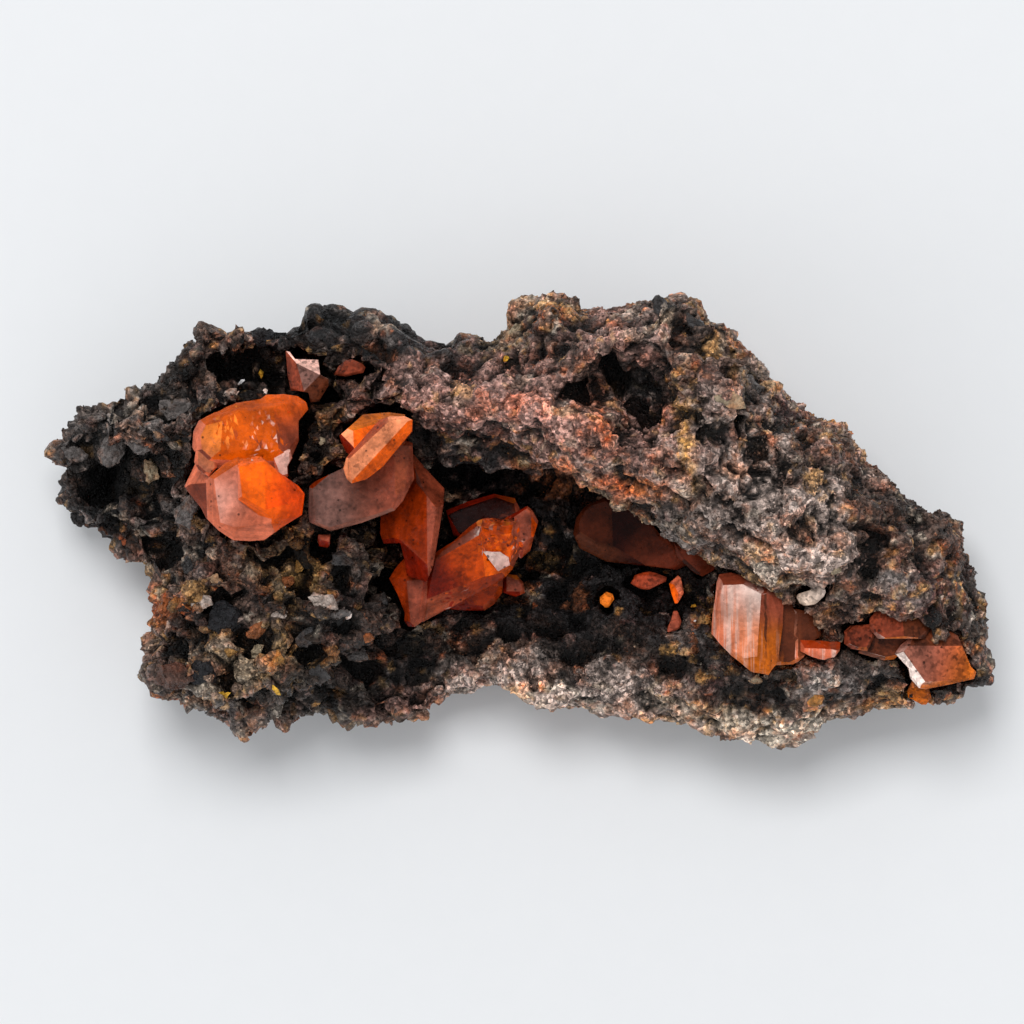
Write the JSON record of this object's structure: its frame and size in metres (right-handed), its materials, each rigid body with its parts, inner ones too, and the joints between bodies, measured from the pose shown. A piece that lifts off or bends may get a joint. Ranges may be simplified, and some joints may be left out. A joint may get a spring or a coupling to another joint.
{
  "type": "wulfenite specimen",
  "caption": "Knobbly brown gossan specimen with thick orange and dark red wulfenite tablets in and around an open vug, lying on its flat broken back.",
  "frame": {"origin": "middle of the bounding box, on the flat broken back it lies on", "axes": "+X along the specimen's length, towards the end with the dull pink crystals; +Y across it, towards the long ridge; +Z out of the display face"},
  "size_m": [0.0904, 0.0438, 0.031],
  "materials": {
    "gossan": "rough porous rock",
    "left_crystals": "glossy, resinous to adamantine crystal faces with small pits",
    "middle_crystals": "glossy, resinous to adamantine crystal faces with small pits",
    "recess_crystals": "glossy, resinous to adamantine crystal faces with small pits",
    "striated_crystal": "glossy, resinous to adamantine crystal faces with small pits",
    "tan_blade": "glossy, resinous to adamantine crystal faces with small pits",
    "right_end_crystals": "glossy, resinous to adamantine crystal faces with small pits",
    "top_crystal": "glossy, resinous to adamantine crystal faces with small pits",
    "top_plate": "glossy, resinous to adamantine crystal faces with small pits",
    "red_chip": "glossy, resinous to adamantine crystal faces with small pits",
    "shelf_crystal_1": "glossy, resinous to adamantine crystal faces with small pits",
    "shelf_crystal_2": "glossy, resinous to adamantine crystal faces with small pits",
    "shelf_crystal_3": "glossy, resinous to adamantine crystal faces with small pits",
    "shelf_crystal_4": "glossy, resinous to adamantine crystal faces with small pits"
  },
  "bodies": {
    "root": {"matrix": "gossan", "left_crystals": "left_crystals", "middle_crystals": "middle_crystals", "recess_crystals": "recess_crystals", "striated_crystal": "striated_crystal", "tan_blade": "tan_blade", "right_end_crystals": "right_end_crystals", "top_crystal": "top_crystal", "top_plate": "top_plate", "red_chip": "red_chip", "shelf_crystal_1": "shelf_crystal_1", "shelf_crystal_2": "shelf_crystal_2", "shelf_crystal_3": "shelf_crystal_3", "shelf_crystal_4": "shelf_crystal_4"}
  },
  "joints": []
}
